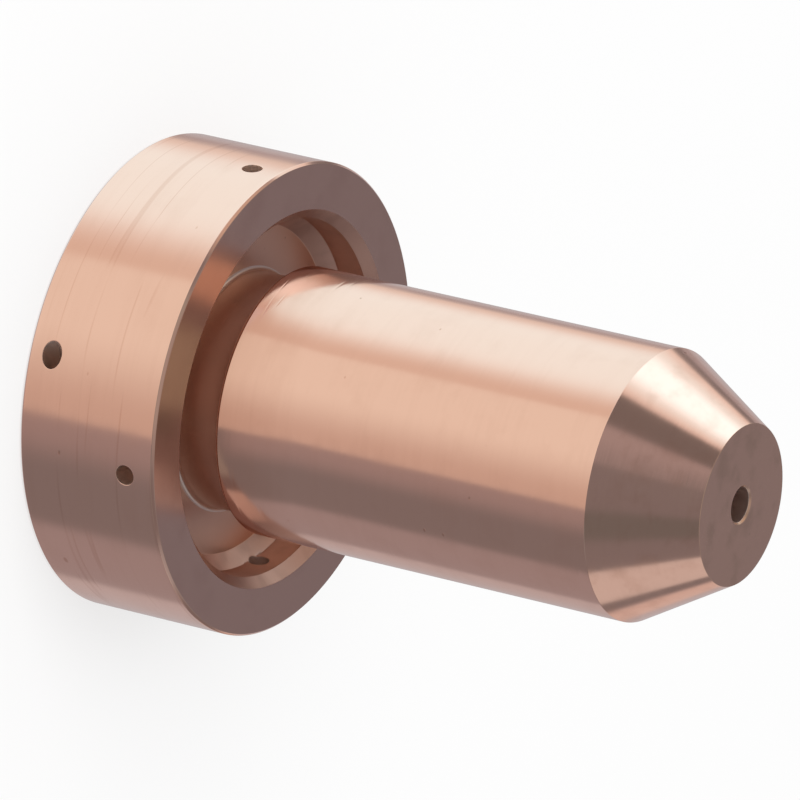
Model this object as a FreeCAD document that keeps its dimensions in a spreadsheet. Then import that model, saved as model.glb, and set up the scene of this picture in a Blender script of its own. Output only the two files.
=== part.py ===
import FreeCAD, Part
import Sketcher
import os

# Plasma torch nozzle, turned from one piece of copper.
# It stands on the rear face of its flange with the nose up, along +Z.
# The origin is the middle of that rear face, and all lengths are in millimetres.

DRIVING_SIZES = (
    ("flange_diameter", 19.0, "outside of the flange"),
    ("flange_thickness", 6.15, "rear face to front face"),
    ("flange_edge_break", 0.1, "chamfer on both outer edges of the flange"),
    ("barrel_diameter", 10.8, "outside of the barrel"),
    ("barrel_reach", 16.9, "front face of the flange to the start of the taper"),
    ("taper_length", 3.8, "start of the taper to the tip face"),
    ("tip_face_diameter", 6.4, "flat tip face"),
    ("recess_diameter", 14.4, "outer wall of the gas recess in the front face"),
    ("recess_depth", 2.15, "front face to the floor of the recess"),
    ("recess_mouth_chamfer", 0.4, "chamfer at the mouth of the recess"),
    ("recess_floor_chamfer", 0.55, "tool corner between the outer wall and the floor"),
    ("neck_diameter", 9.5, "undercut neck between the recess floor and the barrel"),
    ("neck_root_round", 0.2, "round where the neck meets the floor"),
    ("shoulder_standoff", 0.2, "front face to the rear shoulder of the barrel"),
    ("shoulder_round", 0.15, "round on the rear edge of the barrel"),
    ("seat_diameter", 13.0, "counterbore in the rear face"),
    ("seat_depth", 2.4, "depth of the counterbore"),
    ("seat_mouth_chamfer", 0.3, "chamfer at the mouth of the counterbore"),
    ("electrode_bore_diameter", 7.2, "bore that the electrode works in"),
    ("electrode_bore_chamfer", 0.3, "lead-in of the electrode bore"),
    ("bore_cone_length", 2.9, "cone from the electrode bore down to the orifice"),
    ("orifice_diameter", 1.4, "arc orifice"),
    ("orifice_length", 3.2, "straight part of the orifice, up to the tip face"),
    ("orifice_edge_break", 0.08, "chamfer where the orifice leaves the tip face"),
    ("bleed_hole_diameter", 0.8, "gas holes from the rim into the recess"),
    ("bleed_hole_setback", 1.3, "front face to the middle of a bleed hole"),
    ("bleed_hole_count", 4, "bleed holes round the rim"),
    ("swirl_hole_diameter", 0.85, "gas holes from the rim into the counterbore"),
    ("swirl_hole_height", 1.05, "rear face to the middle of a swirl hole"),
    ("swirl_wall_gap", 0.175, "side of a swirl hole to the counterbore wall that it runs along"),
    ("swirl_hole_count", 3, "swirl holes round the rim"),
    ("swirl_clocking", 57.0, "turn of the first swirl hole about the axis, in degrees"),
)

# Places that follow from the driving sizes.
FRONT_FACE = "sizes.flange_thickness"
TAPER_START = "sizes.flange_thickness + sizes.barrel_reach"
TIP_FACE = "sizes.flange_thickness + sizes.barrel_reach + sizes.taper_length"
RECESS_FLOOR = "sizes.flange_thickness - sizes.recess_depth"
SHOULDER = "sizes.flange_thickness + sizes.shoulder_standoff"
ORIFICE_START = f"{TIP_FACE} - sizes.orifice_length"
CONE_START = f"{ORIFICE_START} - sizes.bore_cone_length"
RECESS_MIDDLE = "(sizes.neck_diameter + sizes.recess_diameter) / 4"
SWIRL_OFFSET = "(sizes.seat_diameter - sizes.swirl_hole_diameter) / 2 - sizes.swirl_wall_gap"

# A round never takes more than this share of the step that it sits on.
STEP_SHARE = 0.8
SHOULDER_STEP = "(sizes.barrel_diameter - sizes.neck_diameter) / 2"
SHOULDER_ROUND = f"min(sizes.shoulder_round; {STEP_SHARE} * {SHOULDER_STEP})"

FULL_TURN = 360.0
SAME_PLACE = 1e-4


def make_sheet(doc):
    """Writes the driving sizes into a spreadsheet, one aliased cell each."""
    sheet = doc.addObject("Spreadsheet::Sheet", "sizes")
    for row, (alias, value, note) in enumerate(DRIVING_SIZES, start=1):
        sheet.set(f"A{row}", alias)
        sheet.set(f"B{row}", str(value))
        sheet.setAlias(f"B{row}", alias)
        sheet.set(f"C{row}", note)
    doc.recompute()
    return sheet


def value_of(sheet, expression):
    """The present value of an expression on the sheet."""
    return float(sheet.evalExpression(expression))


def origin_feature(body, role):
    """The body's own origin plane or axis with that role."""
    return next(item for item in body.Origin.OriginFeatures if item.Role == role)


def new_sketch(body, name):
    """An empty sketch in the body's XZ plane: its x is a radius and its y is a height."""
    sketch = body.newObject("Sketcher::SketchObject", name)
    sketch.AttachmentSupport = (origin_feature(body, "XZ_Plane"), [""])
    sketch.MapMode = "FlatFace"
    return sketch


def tie_point(sketch, geometry, point, label, place, sheet):
    """Ties a sketch point to its radius and height; a zero puts it on that axis."""
    directions = (("DistanceX", "radius", -2), ("DistanceY", "height", -1))
    for (kind, word, axis), expression in zip(directions, place):
        if expression == "0":
            sketch.addConstraint(Sketcher.Constraint("PointOnObject", geometry, point, axis))
            continue
        value = value_of(sheet, expression)
        index = sketch.addConstraint(Sketcher.Constraint(kind, -1, 1, geometry, point, value))
        sketch.renameConstraint(index, f"{label}_{word}")
        sketch.setExpression(f"Constraints.{label}_{word}", expression)


def draw_section(body, sheet, name, corners):
    """A closed half section. Each corner is a label, a radius and a height."""
    sketch = new_sketch(body, name)
    points = [FreeCAD.Vector(value_of(sheet, radius), value_of(sheet, height), 0)
              for _, radius, height in corners]
    sides = [Part.LineSegment(start, end) for start, end in zip(points, points[1:] + points[:1])]
    sketch.addGeometry(sides, False)
    for side in range(len(sides)):
        following = (side + 1) % len(sides)
        sketch.addConstraint(Sketcher.Constraint("Coincident", side, 2, following, 1))
    for side, (label, radius, height) in enumerate(corners):
        tie_point(sketch, side, 1, label, (radius, height), sheet)
    return sketch


def turn(body, kind, name, sketch):
    """Revolves a section about the axis, to add metal or to cut it away."""
    feature = body.newObject(kind, name)
    feature.Profile = sketch
    feature.ReferenceAxis = (sketch, ["V_Axis"])
    feature.Angle = FULL_TURN
    body.Document.recompute()
    return feature


def ring_edge(sheet, shape, radius, height):
    """Name of the circular edge with that radius and height."""
    wanted_radius = value_of(sheet, radius)
    wanted_height = value_of(sheet, height)
    for number, edge in enumerate(shape.Edges, start=1):
        circle = edge.Curve
        if not isinstance(circle, Part.Circle):
            continue
        same_radius = abs(circle.Radius - wanted_radius) < SAME_PLACE
        same_height = abs(circle.Center.z - wanted_height) < SAME_PLACE
        if same_radius and same_height:
            return f"Edge{number}"
    raise ValueError(f"no edge of radius {wanted_radius} at height {wanted_height}")


def break_edges(body, sheet, kind, name, size, rings):
    """Chamfers or rounds the ring edges given by radius and height."""
    base = body.Tip
    names = [ring_edge(sheet, base.Shape, radius, height) for radius, height in rings]
    feature = body.newObject(kind, name)
    feature.Base = (base, names)
    feature.setExpression("Size" if kind.endswith("Chamfer") else "Radius", size)
    body.Document.recompute()
    return feature


def drill_row(body, sketch, name, count):
    """Drills one hole outward from its sketch plane and repeats it round the axis."""
    hole = body.newObject("PartDesign::Pocket", f"{name}_hole")
    hole.Profile = sketch
    hole.Type = "ThroughAll"
    hole.Reversed = True
    body.Document.recompute()
    row = body.newObject("PartDesign::PolarPattern", f"{name}_row")
    row.Originals = [hole]
    row.Axis = (origin_feature(body, "Z_Axis"), [""])
    row.Angle = FULL_TURN
    row.setExpression("Occurrences", count)
    body.Tip = row
    body.Document.recompute()
    return row


def hole_sketch(body, sheet, name, diameter, offset, height):
    """A circle for a cross hole, at a sideways offset and a height."""
    sketch = new_sketch(body, name)
    centre = FreeCAD.Vector(value_of(sheet, offset), value_of(sheet, height), 0)
    radius = value_of(sheet, f"{diameter} / 2")
    circle = sketch.addGeometry(Part.Circle(centre, FreeCAD.Vector(0, 0, 1), radius), False)
    tie_point(sketch, circle, 3, "middle", (offset, height), sheet)
    index = sketch.addConstraint(Sketcher.Constraint("Diameter", circle, 2 * radius))
    sketch.renameConstraint(index, "drill_size")
    sketch.setExpression("Constraints.drill_size", diameter)
    return sketch


def turn_outside(body, sheet):
    """The flange, the barrel and the tapered nose."""
    section = draw_section(body, sheet, "outside_section", (
        ("rear_middle", "0", "0"),
        ("rear_rim", "sizes.flange_diameter / 2", "0"),
        ("front_rim", "sizes.flange_diameter / 2", FRONT_FACE),
        ("barrel_root", "sizes.barrel_diameter / 2", FRONT_FACE),
        ("taper_start", "sizes.barrel_diameter / 2", TAPER_START),
        ("tip_edge", "sizes.tip_face_diameter / 2", TIP_FACE),
        ("tip_middle", "0", TIP_FACE),
    ))
    turn(body, "PartDesign::Revolution", "outside", section)


def turn_front_recess(body, sheet):
    """The gas recess round the barrel; its tool also undercuts the barrel to a neck."""
    section = draw_section(body, sheet, "recess_section", (
        ("floor_inner", "sizes.neck_diameter / 2", RECESS_FLOOR),
        ("floor_outer", "sizes.recess_diameter / 2", RECESS_FLOOR),
        ("mouth_outer", "sizes.recess_diameter / 2", SHOULDER),
        ("mouth_inner", "sizes.neck_diameter / 2", SHOULDER),
    ))
    turn(body, "PartDesign::Groove", "front_recess", section)


def turn_bore(body, sheet):
    """The rear counterbore, the electrode bore, its cone and the orifice."""
    section = draw_section(body, sheet, "bore_section", (
        ("mouth_middle", "0", "0"),
        ("seat_mouth", "sizes.seat_diameter / 2", "0"),
        ("seat_floor", "sizes.seat_diameter / 2", "sizes.seat_depth"),
        ("bore_mouth", "sizes.electrode_bore_diameter / 2", "sizes.seat_depth"),
        ("cone_start", "sizes.electrode_bore_diameter / 2", CONE_START),
        ("orifice_start", "sizes.orifice_diameter / 2", ORIFICE_START),
        ("orifice_end", "sizes.orifice_diameter / 2", TIP_FACE),
        ("tip_middle", "0", TIP_FACE),
    ))
    turn(body, "PartDesign::Groove", "bore", section)


def finish_edges(body, sheet):
    """The chamfers and rounds that the lathe leaves."""
    chamfer = "PartDesign::Chamfer"
    fillet = "PartDesign::Fillet"
    flange_radius = "sizes.flange_diameter / 2"
    break_edges(body, sheet, chamfer, "flange_edges", "sizes.flange_edge_break",
                ((flange_radius, "0"), (flange_radius, FRONT_FACE)))
    recess_radius = "sizes.recess_diameter / 2"
    break_edges(body, sheet, chamfer, "recess_mouth", "sizes.recess_mouth_chamfer",
                ((recess_radius, FRONT_FACE),))
    break_edges(body, sheet, chamfer, "recess_corner", "sizes.recess_floor_chamfer",
                ((recess_radius, RECESS_FLOOR),))
    break_edges(body, sheet, fillet, "neck_root", "sizes.neck_root_round",
                (("sizes.neck_diameter / 2", RECESS_FLOOR),))
    break_edges(body, sheet, fillet, "shoulder_edge", SHOULDER_ROUND,
                (("sizes.barrel_diameter / 2", SHOULDER),))
    break_edges(body, sheet, chamfer, "seat_mouth", "sizes.seat_mouth_chamfer",
                (("sizes.seat_diameter / 2", "0"),))
    break_edges(body, sheet, chamfer, "electrode_lead_in", "sizes.electrode_bore_chamfer",
                (("sizes.electrode_bore_diameter / 2", "sizes.seat_depth"),))
    break_edges(body, sheet, chamfer, "orifice_edge", "sizes.orifice_edge_break",
                (("sizes.orifice_diameter / 2", TIP_FACE),))


def drill_bleed_holes(body, sheet):
    """Radial holes from the recess out through the rim, near the front face."""
    sketch = hole_sketch(body, sheet, "bleed_sketch", "sizes.bleed_hole_diameter",
                         "0", "sizes.flange_thickness - sizes.bleed_hole_setback")
    sketch.setExpression("AttachmentOffset.Base.z", RECESS_MIDDLE)
    drill_row(body, sketch, "bleed", "sizes.bleed_hole_count")


def drill_swirl_holes(body, sheet):
    """Holes near the rear face that enter the counterbore along its wall, so the gas spins."""
    sketch = hole_sketch(body, sheet, "swirl_sketch", "sizes.swirl_hole_diameter",
                         SWIRL_OFFSET, "sizes.swirl_hole_height")
    sketch.AttachmentOffset = FreeCAD.Placement(FreeCAD.Vector(),
                                                FreeCAD.Rotation(FreeCAD.Vector(0, 1, 0), 1.0))
    sketch.setExpression("AttachmentOffset.Rotation.Angle", "sizes.swirl_clocking")
    drill_row(body, sketch, "swirl", "sizes.swirl_hole_count")


def make_nozzle(doc, sheet):
    """Turns the blank, bores it, breaks its edges and drills its gas holes."""
    body = doc.addObject("PartDesign::Body", "nozzle")
    body.Label = "nozzle"
    body.Placement = FreeCAD.Placement()
    turn_outside(body, sheet)
    turn_front_recess(body, sheet)
    turn_bore(body, sheet)
    finish_edges(body, sheet)
    drill_bleed_holes(body, sheet)
    drill_swirl_holes(body, sheet)
    return body


def check_objects(doc):
    """Stops if any object of the document failed to compute."""
    for item in doc.Objects:
        if "Invalid" in item.State or "Error" in item.State:
            raise RuntimeError(f"{item.Label} failed: {item.State}")


def check_cuts(body):
    """Stops if a cut took nothing away."""
    cutting = ("PartDesign::Groove", "PartDesign::Pocket", "PartDesign::PolarPattern")
    solids = [item for item in body.Group if not item.isDerivedFrom("Sketcher::SketchObject")]
    for before, after in zip(solids, solids[1:]):
        if after.TypeId in cutting and after.Shape.Volume >= before.Shape.Volume:
            raise RuntimeError(f"{after.Label} cuts nothing")


def check_shape(body):
    """Stops unless the body is one valid solid."""
    shape = body.Shape
    if shape.isNull() or not shape.isValid() or len(shape.Solids) != 1:
        raise RuntimeError(f"{body.Label} is not one valid solid")


def main():
    doc = FreeCAD.newDocument("plasma_torch_nozzle")
    sheet = make_sheet(doc)
    nozzle = make_nozzle(doc, sheet)
    doc.recompute()
    check_objects(doc)
    check_cuts(nozzle)
    check_shape(nozzle)
    os.makedirs("parts", exist_ok=True)
    nozzle.Shape.exportStep(f"parts/{nozzle.Label}.step")
    box = nozzle.Shape.BoundBox
    print(f"{nozzle.Label}: {nozzle.Shape.Volume:.2f} mm3,"
          f" {box.XLength:.2f} x {box.YLength:.2f} x {box.ZLength:.2f} mm")


main()
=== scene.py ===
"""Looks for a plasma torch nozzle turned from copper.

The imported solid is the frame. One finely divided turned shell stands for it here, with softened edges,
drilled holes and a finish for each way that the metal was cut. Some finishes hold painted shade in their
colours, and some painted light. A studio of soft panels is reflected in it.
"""
import logging
import math
from dataclasses import dataclass
from enum import Enum

import bpy
from mathutils import Matrix, Vector


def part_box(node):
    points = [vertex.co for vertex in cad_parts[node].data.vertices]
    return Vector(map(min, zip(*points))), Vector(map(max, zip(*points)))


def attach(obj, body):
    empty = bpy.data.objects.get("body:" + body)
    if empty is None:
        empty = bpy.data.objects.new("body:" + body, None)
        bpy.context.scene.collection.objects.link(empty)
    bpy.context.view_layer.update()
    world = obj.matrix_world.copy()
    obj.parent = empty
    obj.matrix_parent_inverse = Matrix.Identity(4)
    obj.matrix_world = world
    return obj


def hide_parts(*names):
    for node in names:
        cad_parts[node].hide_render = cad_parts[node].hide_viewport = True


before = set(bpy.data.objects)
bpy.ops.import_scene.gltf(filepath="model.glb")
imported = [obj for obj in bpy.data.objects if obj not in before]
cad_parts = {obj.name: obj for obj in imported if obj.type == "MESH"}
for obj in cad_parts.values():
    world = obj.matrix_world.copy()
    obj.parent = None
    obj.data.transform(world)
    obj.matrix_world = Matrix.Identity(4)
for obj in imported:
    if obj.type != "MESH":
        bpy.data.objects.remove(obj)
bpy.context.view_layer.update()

LOG = logging.getLogger("nozzle_scene")

MM = 0.001
HALF_TURN_DEGREES = 180.0
NOISE_MIDDLE = 0.5
NODE = "nozzle"
BODY = "root"
FLANGE_THICKNESS = 6.15 * MM

Colour = tuple[float, float, float]
Cell = tuple[int, int]
Loop = list[tuple[float, int]]
Outputs = bpy.types.NodeOutputs
Source = bpy.types.NodeSocket | float | tuple[float, ...]

WHITE: Colour = (1.0, 1.0, 1.0)


class Zone(Enum):
    """Stretches of the surface that were cut the same way."""

    RIM = "rim"
    FLANGE_FACE = "flange_face"
    RECESS = "recess"
    RECESS_WALL = "recess_wall"
    NECK = "neck"
    BARREL = "barrel"
    TAPER = "taper"
    TIP_FACE = "tip_face"
    BORE = "bore"
    ORIFICE = "orifice"
    DRILLED = "drilled"


class Wall(Enum):
    """Walls of the flange that cross holes break through."""

    RIM = "rim"
    RECESS = "recess"
    SEAT = "seat"


@dataclass(frozen=True)
class Corner:
    """A corner of the half section, and the side that runs from it to the next corner.

    The section is walked from the tip face outward and down the outside, so the metal is on the right hand.
    """

    radius: float
    height: float
    rounding: float
    zone: Zone
    wall: Wall | None = None


@dataclass(frozen=True)
class Station:
    """A ring of the turned shell: its place, its outward normal, and the zone and wall that follow it."""

    radius: float
    height: float
    normal_out: float
    normal_up: float
    zone: Zone
    wall: Wall | None


@dataclass(frozen=True)
class MouthBand:
    """The stretch of a wall in which a row of holes has its mouths, and how finely it is divided."""

    wall: Wall
    low: float
    high: float
    rows: int

    def heights(self) -> list[float]:
        """Heights of the rings that divide the band."""
        return [self.low + (self.high - self.low) * step / self.rows for step in range(self.rows + 1)]


@dataclass(frozen=True)
class HoleRow:
    """Cross holes through the flange wall, evenly spaced round it.

    Each hole's line runs outward along its heading and passes the axis at a sideways offset.
    """

    label: str
    diameter: float
    height: float
    count: int
    first_heading: float
    offset: float
    edge_round: float
    outer: MouthBand
    inner: MouthBand

    def headings(self) -> list[float]:
        """The heading of each hole, in radians."""
        return [self.first_heading + number * math.tau / self.count for number in range(self.count)]


@dataclass(frozen=True)
class Mouth:
    """One mouth of a cross hole: its row, the direction of its hole, and the rings of its wall."""

    row: HoleRow
    heading: float
    band: MouthBand
    rings: list[int]

    def lip(self) -> float:
        """Radius of the mouth's outer edge."""
        return self.row.diameter / 2 + self.row.edge_round

    def outward(self) -> Vector:
        """The hole's direction, away from the axis."""
        return Vector((math.cos(self.heading), math.sin(self.heading), 0.0))

    def sideways(self) -> Vector:
        """The level direction square to the hole."""
        return Vector((-math.sin(self.heading), math.cos(self.heading), 0.0))


class Section:
    """The rounded half section of the nozzle, as rings from which the shell is turned."""

    ARC_STEPS = 4
    CLOSEST = 0.01 * MM
    LEAST_RISE = 1e-12

    def __init__(self, corners: list[Corner], bands: list[MouthBand]) -> None:
        """Rounds the corners and divides the walls where holes have their mouths.

        Args:
            corners: the corners of the closed half section.
            bands: where the walls are divided more finely.
        """
        self.corners = corners
        self.bands = bands
        self.stations = self._make_stations()

    def _side(self, number: int) -> tuple[float, float]:
        """Direction of the side that follows a corner.

        Args:
            number: the corner's number.

        Returns:
            The unit direction, outward and upward.
        """
        here = self.corners[number]
        following = self.corners[(number + 1) % len(self.corners)]
        run, rise = following.radius - here.radius, following.height - here.height
        length = math.hypot(run, rise)
        return run / length, rise / length

    def _round_corner(self, number: int) -> list[Station]:
        """Rounds one corner.

        Args:
            number: the corner's number.

        Returns:
            Its rings, from the end of the side before it to the start of the side after it.
        """
        corner = self.corners[number]
        run_in, rise_in = self._side(number - 1)
        run_out, rise_out = self._side(number)
        turn = math.atan2(run_in * rise_out - rise_in * run_out, run_in * run_out + rise_in * rise_out)
        bend = math.copysign(1.0, turn)
        setback = corner.rounding * math.tan(abs(turn) / 2)
        start_radius = corner.radius - run_in * setback
        start_height = corner.height - rise_in * setback
        centre_radius = start_radius - bend * corner.rounding * rise_in
        centre_height = start_height + bend * corner.rounding * run_in
        rings = []
        for step in range(self.ARC_STEPS + 1):
            angle = turn * step / self.ARC_STEPS
            run = run_in * math.cos(angle) - rise_in * math.sin(angle)
            rise = run_in * math.sin(angle) + rise_in * math.cos(angle)
            source = corner if step == self.ARC_STEPS else self.corners[number - 1]
            rings.append(Station(
                radius=centre_radius + bend * corner.rounding * rise,
                height=centre_height - bend * corner.rounding * run,
                normal_out=-rise,
                normal_up=run,
                zone=source.zone,
                wall=corner.wall or source.wall,
            ))
        return rings

    def _make_stations(self) -> list[Station]:
        """Rounds every corner and divides the sides.

        Returns:
            All rings in order.
        """
        stations: list[Station] = []
        for number in range(len(self.corners)):
            rings = self._round_corner(number)
            stations.extend(rings)
            stations.extend(self._side_rings(number, rings[-1]))
        return stations

    def _side_rings(self, number: int, start: Station) -> list[Station]:
        """Divides the straight side after a corner, where its wall has mouths.

        Args:
            number: the corner's number.
            start: the ring that the side starts from.

        Returns:
            The extra rings, in order along the side.
        """
        corner = self.corners[number]
        end = self._round_corner((number + 1) % len(self.corners))[0]
        run, rise = self._side(number)
        heights = [height for band in self.bands if band.wall == corner.wall for height in band.heights()]
        lowest, highest = sorted((start.height, end.height))
        inside = [height for height in heights if lowest + self.CLOSEST < height < highest - self.CLOSEST]
        inside.sort(reverse=rise < 0)
        return [Station(start.radius + run * (height - start.height) / rise, height,
                        -rise, run, corner.zone, corner.wall) for height in inside]

    def rings_of(self, band: MouthBand) -> list[int]:
        """Finds the rings that a band of mouths spans.

        Args:
            band: the band.

        Returns:
            Numbers of its rings.
        """
        return [number for number, ring in enumerate(self.stations)
                if ring.wall == band.wall
                and band.low - self.CLOSEST < ring.height < band.high + self.CLOSEST]

    def at_height(self, rings: list[int], height: float) -> tuple[float, float, float]:
        """Reads a wall at a height.

        Args:
            rings: numbers of the wall's rings.
            height: where on the wall.

        Returns:
            The wall's radius, and the outward and upward parts of its normal.
        """
        wall = sorted((self.stations[number] for number in rings), key=lambda ring: ring.height)
        for lower, upper in zip(wall, wall[1:]):
            if height <= upper.height:
                share = (height - lower.height) / max(upper.height - lower.height, self.LEAST_RISE)
                mix = [a + (b - a) * share for a, b in (
                    (lower.radius, upper.radius),
                    (lower.normal_out, upper.normal_out),
                    (lower.normal_up, upper.normal_up),
                )]
                return mix[0], mix[1], mix[2]
        last = wall[-1]
        return last.radius, last.normal_out, last.normal_up


class ShellDraft:
    """Points, normals and faces of the shell while it is being made."""

    SAME_ANGLE = 1e-9

    def __init__(self) -> None:
        """Starts an empty draft."""
        self.points: list[Vector] = []
        self.normals: list[Vector] = []
        self.faces: list[tuple[int, ...]] = []
        self.zones: list[Zone] = []

    def add_point(self, place: Vector, normal: Vector) -> int:
        """Adds a point.

        Args:
            place: where it is.
            normal: the surface normal there, of any length.

        Returns:
            The point's number.
        """
        self.points.append(place)
        self.normals.append(normal.normalized())
        return len(self.points) - 1

    def add_turned_point(self, radius: float, angle: float, height: float,
                         normal_out: float, normal_up: float) -> int:
        """Adds a point of a turned surface.

        Args:
            radius: its distance from the axis.
            angle: where it is round the axis, in radians.
            height: its height.
            normal_out: the outward part of the surface normal.
            normal_up: the upward part of the surface normal.

        Returns:
            The point's number.
        """
        cosine, sine = math.cos(angle), math.sin(angle)
        return self.add_point(
            Vector((radius * cosine, radius * sine, height)),
            Vector((normal_out * cosine, normal_out * sine, normal_up)))

    def add_face(self, corners: tuple[int, ...], zone: Zone) -> None:
        """Adds a face, turned so that it looks the way its points' normals do.

        Args:
            corners: numbers of its three or four points.
            zone: the zone that it belongs to.
        """
        first, second, third = (self.points[corner] for corner in corners[:3])
        facing = (second - first).cross(third - first)
        if len(corners) > 3:
            facing += (third - first).cross(self.points[corners[3]] - first)
        wanted = sum((self.normals[corner] for corner in corners), Vector())
        self.faces.append(corners if facing.dot(wanted) > 0 else corners[::-1])
        self.zones.append(zone)

    def stitch(self, first: Loop, second: Loop, zone: Zone) -> None:
        """Joins two closed loops of points with a band of triangles and quads.

        Args:
            first: angle and point number of each point of one loop, by rising angle.
            second: the same for the other loop.
            zone: the zone of the band.
        """
        first = first + [(first[0][0] + math.tau, first[0][1])]
        second = second + [(second[0][0] + math.tau, second[0][1])]
        left, right = 0, 0
        while left < len(first) - 1 or right < len(second) - 1:
            step_left = first[left + 1][0] if left < len(first) - 1 else math.inf
            step_right = second[right + 1][0] if right < len(second) - 1 else math.inf
            here = (first[left][1], second[right][1])
            if abs(step_left - step_right) < self.SAME_ANGLE:
                left, right = left + 1, right + 1
                self.add_face((here[0], here[1], second[right][1], first[left][1]), zone)
            elif step_left < step_right:
                left += 1
                self.add_face((here[0], here[1], first[left][1]), zone)
            else:
                right += 1
                self.add_face((here[0], here[1], second[right][1]), zone)

    def to_object(self, name: str, finishes: dict[Zone, bpy.types.Material]) -> bpy.types.Object:
        """Makes the mesh object, with one material slot a zone and the exact normals.

        Args:
            name: name of the piece.
            finishes: the material of each zone.

        Returns:
            The object, which is in the scene.
        """
        mesh = bpy.data.meshes.new(name)
        mesh.from_pydata([tuple(point) for point in self.points], [], self.faces)
        order = list(finishes)
        for zone in order:
            mesh.materials.append(finishes[zone])
        numbers = {zone: number for number, zone in enumerate(order)}
        mesh.polygons.foreach_set("material_index", [numbers[zone] for zone in self.zones])
        mesh.shade_smooth()
        mesh.normals_split_custom_set_from_vertices([tuple(normal) for normal in self.normals])
        mesh.update()
        return add_object(name, mesh)


@dataclass(frozen=True)
class NozzleSizes:
    """Sizes of the nozzle in metres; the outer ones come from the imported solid."""

    flange_radius: float
    total_height: float
    flange_thickness: float = FLANGE_THICKNESS
    flange_edge_break: float = 0.1 * MM
    barrel_radius: float = 5.4 * MM
    taper_length: float = 3.8 * MM
    tip_face_radius: float = 3.2 * MM
    recess_radius: float = 7.2 * MM
    recess_depth: float = 2.15 * MM
    recess_mouth_chamfer: float = 0.4 * MM
    recess_floor_chamfer: float = 0.55 * MM
    neck_radius: float = 4.75 * MM
    neck_root_round: float = 0.2 * MM
    shoulder_standoff: float = 0.2 * MM
    shoulder_round: float = 0.15 * MM
    seat_radius: float = 6.5 * MM
    seat_depth: float = 2.4 * MM
    seat_mouth_chamfer: float = 0.3 * MM
    bore_radius: float = 3.6 * MM
    bore_chamfer: float = 0.3 * MM
    bore_cone_length: float = 2.9 * MM
    orifice_radius: float = 0.7 * MM
    orifice_length: float = 3.2 * MM
    orifice_edge_break: float = 0.08 * MM
    fine_edge: float = 0.02 * MM
    crisp_edge: float = 0.03 * MM
    soft_edge: float = 0.05 * MM


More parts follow.
